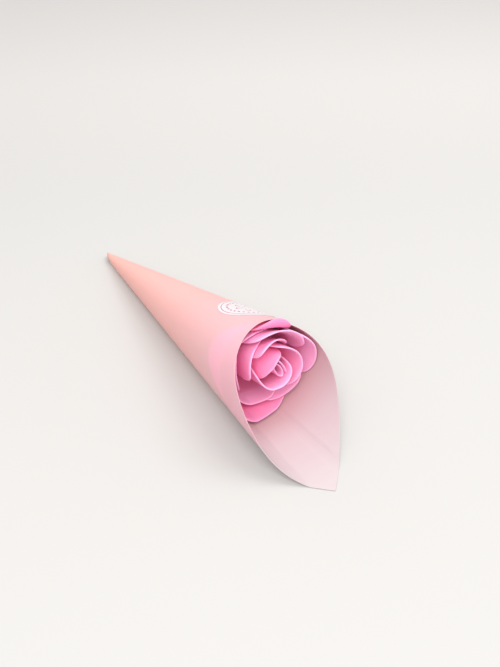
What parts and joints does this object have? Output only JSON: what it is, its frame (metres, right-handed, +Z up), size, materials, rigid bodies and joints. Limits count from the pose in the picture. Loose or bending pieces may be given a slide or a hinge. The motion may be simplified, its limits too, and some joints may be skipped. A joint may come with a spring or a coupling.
{
  "type": "wrapped artificial rose",
  "caption": "Pink artificial rose head on a stem, held in the mouth of a long cone rolled from one sheet of frosted film, with a round label.",
  "frame": {"origin": "under the middle of the bounding box, on the surface that the cone lies on", "axes": "+X along the cone from its tip to its mouth, +Y to the side on which the label lies, +Z up"},
  "size_m": [0.2904, 0.0646, 0.0632],
  "materials": {
    "film": "frosted translucent pink film",
    "label": null,
    "petal": "smooth satin pink, soft soap-like sheet",
    "green": "satin green"
  },
  "bodies": {
    "root": {"wrap": "film", "sticker": "label", "petal_outer_top": "petal", "petal_outer_right": "petal", "petal_outer_bottom": "petal", "petal_outer_left": "petal", "petal_outer_back": "petal", "petal_middle_back": "petal", "petal_middle_top": "petal", "petal_middle_left": "petal", "petal_middle_lower": "petal", "petal_middle_right": "petal", "petal_inner_back": "petal", "petal_inner_left": "petal", "petal_inner_right": "petal", "petal_heart_cup": "petal", "petal_heart_cover": "petal", "petal_heart_bud": "petal", "receptacle": "petal", "calyx": "green", "stem": "green"}
  },
  "joints": []
}
